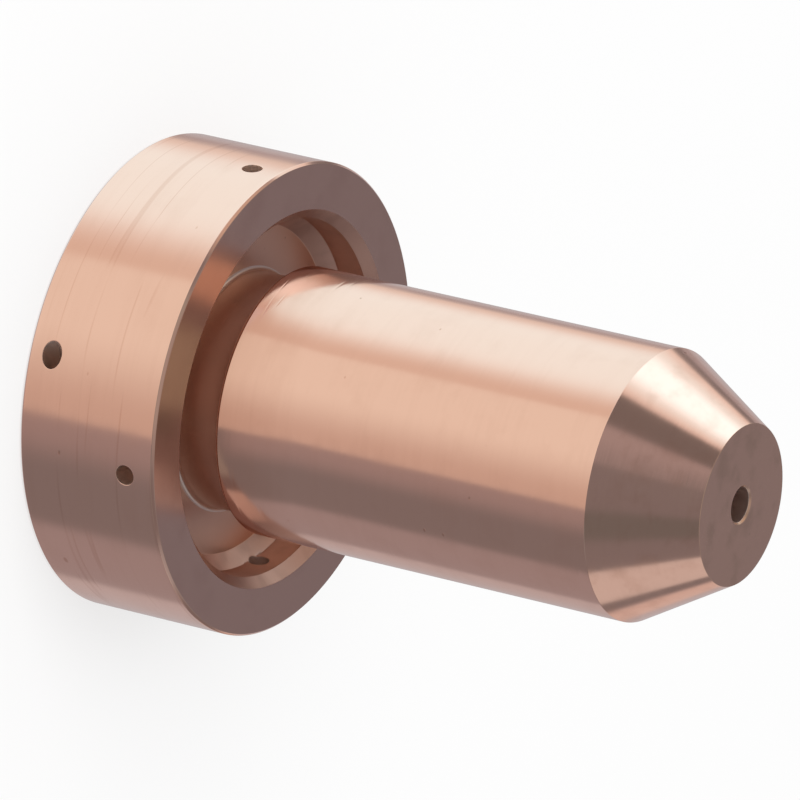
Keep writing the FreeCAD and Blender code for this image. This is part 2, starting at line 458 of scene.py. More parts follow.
@dataclass
class Nozzle:
    """The whole nozzle: one turned shell with its cross holes."""

    sizes: NozzleSizes
    segments: int = 360
    patch_rings: int = 4
    patch_margin: float = 0.22 * MM
    mouth_steps: int = 3
    bleed: HoleRow = HoleRow(
        label="bleed", diameter=0.8 * MM, height=4.85 * MM, count=4,
        first_heading=0.0, offset=0.0, edge_round=0.03 * MM,
        outer=MouthBand(Wall.RIM, low=4.2 * MM, high=5.5 * MM, rows=12),
        inner=MouthBand(Wall.RECESS, low=4.25 * MM, high=5.45 * MM, rows=10))
    swirl: HoleRow = HoleRow(
        label="swirl", diameter=0.85 * MM, height=1.05 * MM, count=3,
        first_heading=math.radians(-33.0), offset=5.9 * MM, edge_round=0.03 * MM,
        outer=MouthBand(Wall.RIM, low=0.38 * MM, high=1.72 * MM, rows=12),
        inner=MouthBand(Wall.SEAT, low=0.42 * MM, high=1.68 * MM, rows=10))

    def __post_init__(self) -> None:
        """Rounds the section and starts an empty draft."""
        bands = [band for row in (self.bleed, self.swirl) for band in (row.outer, row.inner)]
        self.section = Section(self._corners(), bands)
        self.draft = ShellDraft()
        self.grid: dict[Cell, int] = {}
        self.pitch = math.tau / self.segments

    def _corners(self) -> list[Corner]:
        """Lays out the half section.

        Returns:
            Its corners, from the tip face outward and down the outside, then up the inside.
        """
        s = self.sizes
        fine, crisp, soft = s.fine_edge, s.crisp_edge, s.soft_edge
        front = s.flange_thickness
        recess_floor = front - s.recess_depth
        recess_floor_edge = s.recess_radius - s.recess_floor_chamfer
        recess_wall_foot = recess_floor + s.recess_floor_chamfer
        shoulder = front + s.shoulder_standoff
        tip = s.total_height
        taper_start = tip - s.taper_length
        orifice_start = tip - s.orifice_length
        cone_start = orifice_start - s.bore_cone_length
        seat_floor = s.seat_depth
        return [
            Corner(s.orifice_radius + s.orifice_edge_break, tip, fine, Zone.TIP_FACE),
            Corner(s.tip_face_radius, tip, crisp, Zone.TAPER),
            Corner(s.barrel_radius, taper_start, soft, Zone.BARREL),
            Corner(s.barrel_radius, shoulder, s.shoulder_round, Zone.NECK),
            Corner(s.neck_radius, shoulder, crisp, Zone.NECK),
            Corner(s.neck_radius, recess_floor, s.neck_root_round, Zone.RECESS),
            Corner(recess_floor_edge, recess_floor, soft, Zone.RECESS_WALL, Wall.RECESS),
            Corner(s.recess_radius, recess_wall_foot, soft, Zone.RECESS_WALL, Wall.RECESS),
            Corner(s.recess_radius, front - s.recess_mouth_chamfer, crisp, Zone.RECESS_WALL),
            Corner(s.recess_radius + s.recess_mouth_chamfer, front, crisp, Zone.FLANGE_FACE),
            Corner(s.flange_radius - s.flange_edge_break, front, soft, Zone.RIM),
            Corner(s.flange_radius, front - s.flange_edge_break, soft, Zone.RIM, Wall.RIM),
            Corner(s.flange_radius, s.flange_edge_break, soft, Zone.RIM),
            Corner(s.flange_radius - s.flange_edge_break, 0.0, soft, Zone.FLANGE_FACE),
            Corner(s.seat_radius + s.seat_mouth_chamfer, 0.0, crisp, Zone.BORE),
            Corner(s.seat_radius, s.seat_mouth_chamfer, crisp, Zone.BORE, Wall.SEAT),
            Corner(s.seat_radius, seat_floor, crisp, Zone.BORE),
            Corner(s.bore_radius + s.bore_chamfer, seat_floor, crisp, Zone.BORE),
            Corner(s.bore_radius, seat_floor + s.bore_chamfer, crisp, Zone.BORE),
            Corner(s.bore_radius, cone_start, crisp, Zone.BORE),
            Corner(s.orifice_radius, orifice_start, crisp, Zone.ORIFICE),
            Corner(s.orifice_radius, tip - s.orifice_edge_break, fine, Zone.TIP_FACE),
        ]

    def build(self, finishes: dict[Zone, bpy.types.Material]) -> bpy.types.Object:
        """Builds the shell.

        Args:
            finishes: the material of each zone.

        Returns:
            The shell's object.
        """
        blocked: set[Cell] = set()
        for row in (self.bleed, self.swirl):
            for heading in row.headings():
                blocked |= self._drill(row, heading)
            LOG.info("%s row: %d holes", row.label, row.count)
        for ring, station in enumerate(self.section.stations):
            for column in range(self.segments):
                if (ring, column) in blocked:
                    continue
                self.draft.add_face((
                    self._grid_point(ring, column),
                    self._grid_point(ring + 1, column),
                    self._grid_point(ring + 1, column + 1),
                    self._grid_point(ring, column + 1),
                ), station.zone)
        return self.draft.to_object("turned_shell", finishes)

    def _grid_point(self, ring: int, column: int) -> int:
        """Finds a grid point, and makes it when it is first asked for.

        Args:
            ring: number of its ring, which may run past the last one.
            column: number of its column, which may run past the last one.

        Returns:
            The point's number.
        """
        key = (ring % len(self.section.stations), column % self.segments)
        if key not in self.grid:
            station = self.section.stations[key[0]]
            self.grid[key] = self.draft.add_turned_point(
                station.radius, math.tau * key[1] / self.segments, station.height,
                station.normal_out, station.normal_up)
        return self.grid[key]

    def _drill(self, row: HoleRow, heading: float) -> set[Cell]:
        """Makes one hole: a patch round each of its two mouths and the drilled wall between them.

        Args:
            row: the row that the hole belongs to.
            heading: the direction in which the hole runs outward, in radians.

        Returns:
            The cells of the grid that the two patches take the place of.
        """
        blocked: set[Cell] = set()
        throats = []
        for band in (row.outer, row.inner):
            mouth = Mouth(row, heading, band, self.section.rings_of(band))
            outline, cells = self._patch_outline(mouth)
            blocked |= cells
            throats.append(self._round_edge(mouth, self._fill_patch(mouth, outline)))
        self.draft.stitch(throats[0], throats[1], Zone.DRILLED)
        return blocked

    def _patch_outline(self, mouth: Mouth) -> tuple[list[Cell], set[Cell]]:
        """Marks out the rectangle of the grid that makes room for a mouth.

        Args:
            mouth: the mouth.

        Returns:
            Ring and column of each grid point on the outline, in order, and the cells inside it.
        """
        wall_radius, _, _ = self.section.at_height(mouth.rings, mouth.row.height)
        margin = self.patch_margin / wall_radius
        near = self._side_angle(mouth, -mouth.lip(), mouth.row.height)
        far = self._side_angle(mouth, mouth.lip(), mouth.row.height)
        first_column = math.floor((near - margin) / self.pitch)
        last_column = math.ceil((far + margin) / self.pitch)
        first_ring, last_ring = mouth.rings[0], mouth.rings[-1]
        cells = {(ring, column % self.segments)
                 for ring in range(first_ring, last_ring)
                 for column in range(first_column, last_column)}
        outline = [(first_ring, column) for column in range(first_column, last_column)]
        outline += [(ring, last_column) for ring in range(first_ring, last_ring)]
        outline += [(last_ring, column) for column in range(last_column, first_column, -1)]
        outline += [(ring, first_column) for ring in range(last_ring, first_ring, -1)]
        return outline, cells

    def _fill_patch(self, mouth: Mouth, outline: list[Cell]) -> Loop:
        """Fills the wall between a patch's outline and the mouth's outer edge.

        Args:
            mouth: the mouth.
            outline: ring and column of each grid point on the outline.

        Returns:
            The loop of points along the mouth's outer edge.
        """
        lip, middle_height = mouth.lip(), mouth.row.height
        near, middle, far = (self._side_angle(mouth, side, middle_height) for side in (-lip, 0.0, lip))
        half_span = (far - near) / 2
        edges = []
        for ring, column in outline:
            angle, height = column * self.pitch, self.section.stations[ring].height
            bearing = math.atan2((height - middle_height) / lip, (angle - middle) / half_span) % math.tau
            edges.append((bearing, angle, height, ring, column))
        edges.sort(key=lambda edge: edge[0])
        loop = [(bearing, self._grid_point(ring, column)) for bearing, _, _, ring, column in edges]
        for step in range(1, self.patch_rings + 1):
            share = step / self.patch_rings
            inner = []
            for bearing, edge_angle, edge_height, _, _ in edges:
                lip_height = middle_height + lip * math.sin(bearing)
                lip_angle = self._side_angle(mouth, lip * math.cos(bearing), lip_height)
                angle = edge_angle + (lip_angle - edge_angle) * share
                height = edge_height + (lip_height - edge_height) * share
                radius, normal_out, normal_up = self.section.at_height(mouth.rings, height)
                inner.append((bearing, self.draft.add_turned_point(
                    radius, angle, height, normal_out, normal_up)))
            self.draft.stitch(loop, inner, self._zone_of(mouth))
            loop = inner
        return loop

    def _round_edge(self, mouth: Mouth, loop: Loop) -> Loop:
        """Rounds the edge between a wall and its hole.

        Args:
            mouth: the mouth.
            loop: the loop of points along the mouth's outer edge.

        Returns:
            The loop of points where the drilled wall starts.
        """
        row, outward, sideways = mouth.row, mouth.outward(), mouth.sideways()
        into_hole = -1.0 if mouth.band.wall == Wall.RIM else 1.0
        for step in range(1, self.mouth_steps + 1):
            turn = math.pi / 2 * step / self.mouth_steps
            distance = row.diameter / 2 + row.edge_round * (1 - math.sin(turn))
            depth = row.edge_round * (1 - math.cos(turn))
            inner = []
            for bearing, _ in loop:
                spoke = sideways * math.cos(bearing) + Vector((0, 0, math.sin(bearing)))
                surface, surface_normal = self._on_wall(mouth, distance, bearing)
                place = surface + outward * (into_hole * depth)
                normal = surface_normal * math.cos(turn) - spoke * math.sin(turn)
                inner.append((bearing, self.draft.add_point(place, normal)))
            last = step == self.mouth_steps
            self.draft.stitch(loop, inner, Zone.DRILLED if last else self._zone_of(mouth))
            loop = inner
        return loop

    def _on_wall(self, mouth: Mouth, distance: float, bearing: float) -> tuple[Vector, Vector]:
        """Finds where a line parallel to a hole meets the mouth's wall.

        Args:
            mouth: the mouth.
            distance: how far the line is from the middle of the hole.
            bearing: on which side of the hole it is, in radians.

        Returns:
            The point and the wall's normal there.
        """
        side = mouth.row.offset + distance * math.cos(bearing)
        height = mouth.row.height + distance * math.sin(bearing)
        radius, normal_out, normal_up = self.section.at_height(mouth.rings, height)
        reach = math.sqrt(radius * radius - side * side)
        place = mouth.outward() * reach + mouth.sideways() * side + Vector((0, 0, height))
        level = Vector((place.x, place.y, 0.0)).normalized()
        return place, level * normal_out + Vector((0, 0, normal_up))

    def _side_angle(self, mouth: Mouth, side: float, height: float) -> float:
        """Finds the angle round the axis of a point of the mouth's wall.

        Args:
            mouth: the mouth.
            side: how far the point is to the side of the middle of the hole.
            height: the point's height.

        Returns:
            The angle in radians.
        """
        radius, _, _ = self.section.at_height(mouth.rings, height)
        return mouth.heading + math.asin((mouth.row.offset + side) / radius)

    def _zone_of(self, mouth: Mouth) -> Zone:
        """The zone of the wall that a mouth is in."""
        return self.section.stations[mouth.rings[0]].zone


class Detail(Enum):
    """How much fine detail a noise has."""

    NONE = 0.0
    SOFT = 1.0
    FINE = 2.0
    RICH = 3.0


class Wiring:
    """Short ways to add nodes to a tree and join them."""

    # Sockets of the mix node for colours, which share their names with its other sockets.
    MIX_SHARE = 0
    MIX_FIRST = 6
    MIX_SECOND = 7
    MIX_RESULT = 2

    def __init__(self, tree: bpy.types.NodeTree) -> None:
        """Works on one node tree."""
        self.tree = tree

    def add(self, kind: str, **settings: object) -> bpy.types.Node:
        """Adds a node.

        Args:
            kind: the node's type.
            **settings: its properties by name.

        Returns:
            The node.
        """
        node = self.tree.nodes.new(kind)
        for name, value in settings.items():
            setattr(node, name, value)
        return node

    def feed(self, socket: bpy.types.NodeSocket, source: Source) -> None:
        """Joins a socket to a socket, or sets it to a plain value.

        Args:
            socket: the input to fill.
            source: what fills it.
        """
        if isinstance(source, bpy.types.NodeSocket):
            self.tree.links.new(source, socket)
        else:
            socket.default_value = source

    def math(self, operation: str, *sources: Source) -> bpy.types.NodeSocket:
        """Works out a number.

        Args:
            operation: what the math node does.
            *sources: its one to three inputs.

        Returns:
            The number.
        """
        node = self.add("ShaderNodeMath", operation=operation)
        for socket, source in zip(node.inputs, sources):
            self.feed(socket, source)
        return node.outputs[0]

    def vector(self, operation: str, *sources: Source) -> bpy.types.NodeSocket:
        """Works out a vector, or a number from vectors.

        Args:
            operation: what the vector math node does.
            *sources: its inputs.

        Returns:
            The number where the operation gives one, and otherwise the vector.
        """
        node = self.add("ShaderNodeVectorMath", operation=operation)
        for socket, source in zip(node.inputs, sources):
            self.feed(socket, source)
        numeric = operation in ("DOT_PRODUCT", "LENGTH")
        return node.outputs["Value" if numeric else "Vector"]

    def ramp(self, value: Source, start: Source, end: Source) -> bpy.types.NodeSocket:
        """Turns a value into a smooth share.

        Args:
            value: the value.
            start: where the share is zero.
            end: where the share is one.

        Returns:
            The share, held at zero and one beyond the two ends.
        """
        node = self.add("ShaderNodeMapRange", interpolation_type="SMOOTHSTEP")
        self.feed(node.inputs["Value"], value)
        self.feed(node.inputs["From Min"], start)
        self.feed(node.inputs["From Max"], end)
        return node.outputs["Result"]

    def blend(self, share: Source, first: Source, second: Source) -> bpy.types.NodeSocket:
        """Mixes two colours.

        Args:
            share: how much of the second colour there is.
            first: the colour at share zero.
            second: the colour at share one.

        Returns:
            The mixed colour.
        """
        node = self.add("ShaderNodeMix", data_type="RGBA")
        self.feed(node.inputs[self.MIX_SHARE], share)
        self.feed(node.inputs[self.MIX_FIRST], first)
        self.feed(node.inputs[self.MIX_SECOND], second)
        return node.outputs[self.MIX_RESULT]

    def noise(self, place: Source, scale: Source, detail: Detail) -> bpy.types.NodeSocket:
        """Makes a noise about one half.

        Args:
            place: where it is read.
            scale: how fast it changes.
            detail: how much fine detail it has.

        Returns:
            The noise.
        """
        node = self.add("ShaderNodeTexNoise")
        self.feed(node.inputs["Vector"], place)
        self.feed(node.inputs["Scale"], scale)
        node.inputs["Detail"].default_value = detail.value
        return node.outputs["Fac"]

    def signed(self, share: Source) -> bpy.types.NodeSocket:
        """Spreads a share from zero to one over minus one to one."""
        return self.math("MULTIPLY_ADD", share, 2.0, -1.0)

    def raised(self, level: Source, rise: Source) -> bpy.types.NodeSocket:
        """Moves a place upward.

        Args:
            level: the place.
            rise: how far it moves.

        Returns:
            The moved place.
        """
        lift = self.add("ShaderNodeCombineXYZ")
        self.feed(lift.inputs["Z"], rise)
        return self.vector("ADD", level, lift.outputs[0])

    def ring_noise(self, side: Source, travel: Source, turn_rate: float, pitch: Source,
                   detail: Detail) -> bpy.types.NodeSocket:
        """Makes a noise that is drawn out round the piece.

        Args:
            side: direction from the axis.
            travel: distance along the cut.
            turn_rate: how fast the noise changes round the piece.
            pitch: length along the cut over which it changes.
            detail: how much fine detail it has.

        Returns:
            The noise.
        """
        around = self.vector("MULTIPLY", side, (turn_rate, turn_rate, turn_rate))
        return self.noise(self.raised(around, self.math("DIVIDE", travel, pitch)), 1.0, detail)

    def place(self, group: bpy.types.NodeTree, **values: Source) -> bpy.types.Node:
        """Places a node group.

        Args:
            group: the group.
            **values: what fills its inputs, whose names have a space for each underscore.

        Returns:
            The group's node.
        """
        node = self.add("ShaderNodeGroup", node_tree=group)
        for name, value in values.items():
            self.feed(node.inputs[name.replace("_", " ")], value)
        return node


def opaque(colour: Colour) -> tuple[float, float, float, float]:
    """A colour that covers fully."""
    return (*colour, 1.0)


def add_object(name: str, data: bpy.types.ID) -> bpy.types.Object:
    """Adds an object to the scene.

    Args:
        name: name of the object.
        data: its mesh, light or camera.

    Returns:
        The object.
    """
    item = bpy.data.objects.new(name, data)
    bpy.context.scene.collection.objects.link(item)
    return item


def start_material(name: str) -> tuple[bpy.types.Material, Wiring, bpy.types.Node]:
    """Starts a material.

    Args:
        name: name of the material.

    Returns:
        The material, the wiring of its tree, and its main shader.
    """
    material = bpy.data.materials.new(name)
    material.use_nodes = True
    return material, Wiring(material.node_tree), material.node_tree.nodes["Principled BSDF"]


class SocketKind(Enum):
    """Kinds of group sockets."""

    NUMBER = "NodeSocketFloat"
    VECTOR = "NodeSocketVector"


class SharedEffect:
    """A node group that several materials use."""

    def __init__(self, name: str, takes: tuple[str, ...], gives: dict[str, SocketKind]) -> None:
        """Makes the group with its sockets.

        Args:
            name: name of the group.
            takes: names of its inputs, which are all numbers.
            gives: outputs by name.
        """
        self.tree = bpy.data.node_groups.new(name, "ShaderNodeTree")
        for label in takes:
            self.tree.interface.new_socket(label, in_out="INPUT", socket_type=SocketKind.NUMBER.value)
        for label, kind in gives.items():
            self.tree.interface.new_socket(label, in_out="OUTPUT", socket_type=kind.value)
        self.wiring = Wiring(self.tree)
        self.source = self.wiring.add("NodeGroupInput").outputs
        self.result = self.wiring.add("NodeGroupOutput").inputs


@dataclass(frozen=True)
class LatheCoordinates:
    """Where a point is on the turned surface.

    The travel along the cut is the height less a share of the radius, so it runs on over flat faces too.
    """

    radius_share: float = 0.6

    def make(self) -> bpy.types.NodeTree:
        """Builds the group.

        Returns:
            A group that gives the distance from the axis, the height, the travel and the side.
        """
        number = SocketKind.NUMBER
        effect = SharedEffect("lathe_coordinates", (), {
            "Radius": number, "Height": number, "Along": number, "Side": SocketKind.VECTOR})
        wiring, result = effect.wiring, effect.result
        place = wiring.add("ShaderNodeTexCoord").outputs["Object"]
        level = wiring.vector("MULTIPLY", place, (1.0, 1.0, 0.0))
        radius = wiring.vector("LENGTH", level)
        parts = wiring.add("ShaderNodeSeparateXYZ")
        wiring.feed(parts.inputs[0], place)
        height = parts.outputs["Z"]
        wiring.feed(result["Radius"], radius)
        wiring.feed(result["Height"], height)
        wiring.feed(result["Along"], wiring.math("MULTIPLY_ADD", radius, -self.radius_share, height))
        wiring.feed(result["Side"], wiring.vector("NORMALIZE", level))
        return effect.tree


@dataclass(frozen=True)
class TurningMarks:
    """Rings that the tool leaves: fine lines, broad bands, and a few thin scores that start and stop.

    A rate says how fast a noise changes round the piece. A gap breaks the scores where its noise is low.
    """

    drift_rate: float = 1.3
    line_rate: float = 2.5
    band_rate: float = 1.2
    score_rate: float = 0.2
    gap_rate: float = 1.6
    score_width: float = 0.03
    gap_end: float = 0.47
    score_full: float = 0.62

    def make(self, coordinates: bpy.types.NodeTree) -> bpy.types.NodeTree:
        """Builds the group.

        Args:
            coordinates: the group that gives a point's place on the turned surface.

        Returns:
            A group that gives the lines and bands from minus one to one, and the scores' mask.
        """
        number = SocketKind.NUMBER
        effect = SharedEffect("turning_marks", ("Pitch", "Band Width", "Score Spacing", "Waver"), {
            "Line": number, "Band": number, "Score": number})
        wiring, source = effect.wiring, effect.source
        where = wiring.place(coordinates).outputs
        side, spacing = where["Side"], source["Score Spacing"]
        drift = wiring.math("SUBTRACT", wiring.noise(side, self.drift_rate, Detail.SOFT), NOISE_MIDDLE)
        travel = wiring.math("MULTIPLY_ADD", drift, source["Waver"], where["Along"])
        line = wiring.ring_noise(side, travel, self.line_rate, source["Pitch"], Detail.FINE)
        band = wiring.ring_noise(side, travel, self.band_rate, source["Band Width"], Detail.FINE)
        score = wiring.ring_noise(side, travel, self.score_rate, spacing, Detail.NONE)
        score = wiring.math("ABSOLUTE", wiring.math("SUBTRACT", score, NOISE_MIDDLE))
        score = wiring.ramp(score, self.score_width, 0.0)
        shown = wiring.ring_noise(side, travel, self.gap_rate, spacing, Detail.FINE)
        shown = wiring.ramp(shown, self.gap_end, self.score_full)
        wiring.feed(effect.result["Line"], wiring.signed(line))
        wiring.feed(effect.result["Band"], wiring.signed(band))
        wiring.feed(effect.result["Score"], wiring.math("MULTIPLY", score, shown))
        return effect.tree


@dataclass(frozen=True)
class HandlingMarks:
    """Marks that aren't from the tool: broad swells, faint stains, and small pits.

    Pits are drawn out round the piece, most are small, and their middles are flat.
    """

    stain_start: float = 0.45
    stain_full: float = 0.75
    pit_stretch: tuple[float, float, float] = (0.55, 0.55, 1.0)
    pit_size_power: float = 3.0
    pit_floor_share: float = 0.4

    def make(self, coordinates: bpy.types.NodeTree) -> bpy.types.NodeTree:
        """Builds the group.

        Args:
            coordinates: the group that gives a point's place on the turned surface.

        Returns:
            A group that gives the swells from minus one to one, and masks of the stains and pits.
        """
        number = SocketKind.NUMBER
        effect = SharedEffect("handling_marks", ("Swell Size", "Stain Size", "Pit Spacing", "Pit Size"), {
            "Swell": number, "Stain": number, "Pit": number})
        wiring, source = effect.wiring, effect.source
        where = wiring.place(coordinates).outputs
        around = wiring.add("ShaderNodeVectorMath", operation="SCALE")
        wiring.feed(around.inputs[0], where["Side"])
        wiring.feed(around.inputs["Scale"], where["Radius"])
        unrolled = wiring.raised(around.outputs["Vector"], where["Along"])
        swell = wiring.noise(unrolled, wiring.math("DIVIDE", 1.0, source["Swell Size"]), Detail.SOFT)
        stain = wiring.noise(unrolled, wiring.math("DIVIDE", 1.0, source["Stain Size"]), Detail.RICH)
        cells = wiring.add("ShaderNodeTexVoronoi", feature="F1")
        wiring.feed(cells.inputs["Vector"], wiring.vector("MULTIPLY", unrolled, self.pit_stretch))
        wiring.feed(cells.inputs["Scale"], wiring.math("DIVIDE", 1.0, source["Pit Spacing"]))
        pick = wiring.add("ShaderNodeSeparateColor")
        wiring.feed(pick.inputs[0], cells.outputs["Color"])
        size = wiring.math("POWER", pick.outputs[0], self.pit_size_power)
        size = wiring.math("MULTIPLY", size, source["Pit Size"])
        reach = wiring.math("DIVIDE", size, source["Pit Spacing"])
        pit_floor = wiring.math("MULTIPLY", reach, self.pit_floor_share)
        wiring.feed(effect.result["Swell"], wiring.signed(swell))
        wiring.feed(effect.result["Stain"], wiring.ramp(stain, self.stain_start, self.stain_full))
        wiring.feed(effect.result["Pit"], wiring.ramp(cells.outputs["Distance"], reach, pit_floor))
        return effect.tree


@dataclass(frozen=True)
class SharedEffects:
    """The node groups that the copper finishes use."""

    coordinates: bpy.types.NodeTree
    marks: bpy.types.NodeTree
    handling: bpy.types.NodeTree


@dataclass(frozen=True)
class CopperFinish:
    """A finish of bare copper as one kind of cut leaves it. Some zones' colours also hold painted shade, and
    some painted light.

    The root shade is painted shade: a darker tone near the flange that stands in for the flange's reflection
    in the barrel. It and the sweep act below a height of one sweep length above the flange's front face.
    """

    name: str
    bright: Colour = (0.95, 0.635, 0.53)
    dull: Colour = (0.72, 0.42, 0.32)
    roughness: float = 0.11
    roughness_spread: float = 0.03
    least_roughness: float = 0.03
    anisotropy: float = 0.7
    line_pitch: float = 0.12 * MM
    line_height: float = 0.0002 * MM
    line_shade: float = 0.05
    band_width: float = 0.6 * MM
    band_shade: float = 0.10
    score_spacing: float = 0.9 * MM
    score_depth: float = 0.001 * MM
    score_shade: float = 0.0
    waver: float = 0.25 * MM
    swell_size: float = 2.5 * MM
    swell_height: float = 0.003 * MM
    stain_size: float = 2.2 * MM
    stain_shade: float = 0.10
    pit_spacing: float = 0.9 * MM
    pit_size: float = 0.09 * MM
    pit_depth: float = 0.004 * MM
    pit_shade: float = 0.8
    painted_root_shade: float = 0.0
    sweep: float = 0.0
    sweep_length: float = 3.6 * MM

    def make(self, effects: SharedEffects) -> bpy.types.Material:
        """Builds the material.

        Args:
            effects: the shared node groups.

        Returns:
            The material, ready for a slot of the shell.
        """
        material, wiring, shader = start_material(self.name)
        shader.inputs["Metallic"].default_value = 1.0
        shader.inputs["Anisotropic"].default_value = self.anisotropy
        tangent = wiring.add("ShaderNodeTangent", direction_type="RADIAL", axis="Z")
        wiring.feed(shader.inputs["Tangent"], tangent.outputs[0])
        marks = wiring.place(
            effects.marks, Pitch=self.line_pitch, Band_Width=self.band_width,
            Score_Spacing=self.score_spacing, Waver=self.waver).outputs
        handling = wiring.place(
            effects.handling, Swell_Size=self.swell_size, Stain_Size=self.stain_size,
            Pit_Spacing=self.pit_spacing, Pit_Size=self.pit_size).outputs
        height = wiring.place(effects.coordinates).outputs["Height"]
        sweep_top = FLANGE_THICKNESS + self.sweep_length
        below = wiring.math("MAXIMUM", wiring.math("SUBTRACT", sweep_top, height), 0.0)
        self._colour(wiring, shader, marks, handling, below)
        self._gloss(wiring, shader, marks, handling)
        self._relief(wiring, shader, marks, handling, below)
        return material

    def _colour(self, wiring: Wiring, shader: bpy.types.Node, marks: Outputs, handling: Outputs,
                below: bpy.types.NodeSocket) -> None:
        """Dulls the copper along its lines, bands and scores and in its stains and pits, and paints shade
        toward the root that stands in for the flange's darker reflection.

        Args:
            wiring: the wiring of the material.
            shader: its main shader.
            marks: what the turning marks give.
            handling: what the handling marks give.
            below: how far the point is below the top of the sweep.
        """
        # Painted shade: the copper darkens toward the root, standing in for the flange's darker reflection
        # in the barrel.
        shade = wiring.math("MULTIPLY", below, self.painted_root_shade / self.sweep_length)
        shade = wiring.math("MULTIPLY_ADD", marks["Line"], self.line_shade, shade)
        shade = wiring.math("MULTIPLY_ADD", marks["Band"], self.band_shade, shade)
        shade = wiring.math("MULTIPLY_ADD", handling["Stain"], self.stain_shade, shade)
        shade = wiring.math("MULTIPLY_ADD", marks["Score"], self.score_shade, shade)
        shade = wiring.math("MAXIMUM", shade, wiring.math("MULTIPLY", handling["Pit"], self.pit_shade))
        shade = wiring.math("MAXIMUM", shade, 0.0)
        wiring.feed(shader.inputs["Base Color"], wiring.blend(shade, opaque(self.bright), opaque(self.dull)))

    def _gloss(self, wiring: Wiring, shader: bpy.types.Node, marks: Outputs, handling: Outputs) -> None:
        """Varies the gloss with the bands and stains.

        Args:
            wiring: the wiring of the material.
            shader: its main shader.
            marks: what the turning marks give.
            handling: what the handling marks give.
        """
        rough = wiring.math("MULTIPLY_ADD", marks["Band"], self.roughness_spread, self.roughness)
        rough = wiring.math("MULTIPLY_ADD", handling["Stain"], self.roughness_spread, rough)
        wiring.feed(shader.inputs["Roughness"], wiring.math("MAXIMUM", rough, self.least_roughness))

    def _relief(self, wiring: Wiring, shader: bpy.types.Node, marks: Outputs, handling: Outputs,
                below: bpy.types.NodeSocket) -> None:
        """Raises the lines, swells and the sweep at the root, and sinks the scores and pits.

        Args:
            wiring: the wiring of the material.
            shader: its main shader.
            marks: what the turning marks give.
            handling: what the handling marks give.
            below: how far the point is below the top of the sweep.
        """
        steepness = math.tan(self.sweep) / (2.0 * self.sweep_length)
        height = wiring.math("MULTIPLY", wiring.math("MULTIPLY", below, below), steepness)
        height = wiring.math("MULTIPLY_ADD", marks["Line"], self.line_height, height)
        height = wiring.math("MULTIPLY_ADD", handling["Swell"], self.swell_height, height)
        height = wiring.math("MULTIPLY_ADD", marks["Score"], -self.score_depth, height)
        height = wiring.math("MULTIPLY_ADD", handling["Pit"], -self.pit_depth, height)
        bump = wiring.add("ShaderNodeBump")
        bump.inputs["Strength"].default_value = 1.0
        bump.inputs["Distance"].default_value = 1.0
        wiring.feed(bump.inputs["Height"], height)
        wiring.feed(shader.inputs["Normal"], bump.outputs[0])


FINISHES = {
    Zone.RIM: CopperFinish(
        "turned_rim", score_shade=0.4, band_shade=0.14, waver=0.35 * MM, pit_size=0.13 * MM),
    # The front face's copper is darker than the barrel's: painted shade.
    Zone.FLANGE_FACE: CopperFinish(
        "faced_flange_painted_shade", roughness=0.16, line_pitch=0.08 * MM, score_depth=0.0,
        bright=(0.80, 0.56, 0.47), dull=(0.65, 0.43, 0.36), stain_size=2.0 * MM, stain_shade=0.35),
    # The recess's darker, redder copper is painted shade, standing in for the light lost between its walls.
    Zone.RECESS: CopperFinish(
        "turned_recess_painted_shade", roughness=0.3, bright=(0.82, 0.53, 0.41), dull=(0.62, 0.38, 0.28)),
    # The recess wall's darker copper is painted shade as well.
    Zone.RECESS_WALL: CopperFinish(
        "recess_wall", roughness=0.3, bright=(0.72, 0.47, 0.39), dull=(0.52, 0.33, 0.27),
        stain_size=1.2 * MM, stain_shade=0.6),
    Zone.NECK: CopperFinish(
        "undercut_neck", roughness=0.3, bright=(0.93, 0.78, 0.70), dull=(0.80, 0.63, 0.55)),
    # The barrel's root shade is painted shade, standing in for the flange's darker reflection.
    Zone.BARREL: CopperFinish(
        "turned_barrel", stain_size=1.6 * MM, stain_shade=0.12, painted_root_shade=0.5, sweep=math.radians(15.2)),
    Zone.TAPER: CopperFinish(
        "turned_taper", score_depth=0.0, stain_size=1.1 * MM, stain_shade=0.3),
    Zone.TIP_FACE: CopperFinish(
        "faced_tip", roughness=0.2, line_pitch=0.08 * MM, score_depth=0.0,
        bright=(0.93, 0.64, 0.50), dull=(0.77, 0.54, 0.41),
        stain_size=1.3 * MM, stain_shade=0.9, band_shade=0.2),
    Zone.BORE: CopperFinish(
        "bored_inside", roughness=0.35, bright=(0.86, 0.58, 0.47), dull=(0.68, 0.44, 0.35)),
    # The orifice's paler copper is painted light, lifting the shade deep inside it.
    Zone.ORIFICE: CopperFinish(
        "reamed_orifice_painted_light", roughness=0.5, bright=(0.97, 0.84, 0.79), dull=(0.86, 0.71, 0.65)),
    # The drilled holes' paler copper is painted light, lifting the shade inside them.
    Zone.DRILLED: CopperFinish(
        "drilled_hole_painted_light", roughness=0.5, anisotropy=0.0, bright=(0.95, 0.78, 0.70), dull=(0.80, 0.62, 0.53)),
}


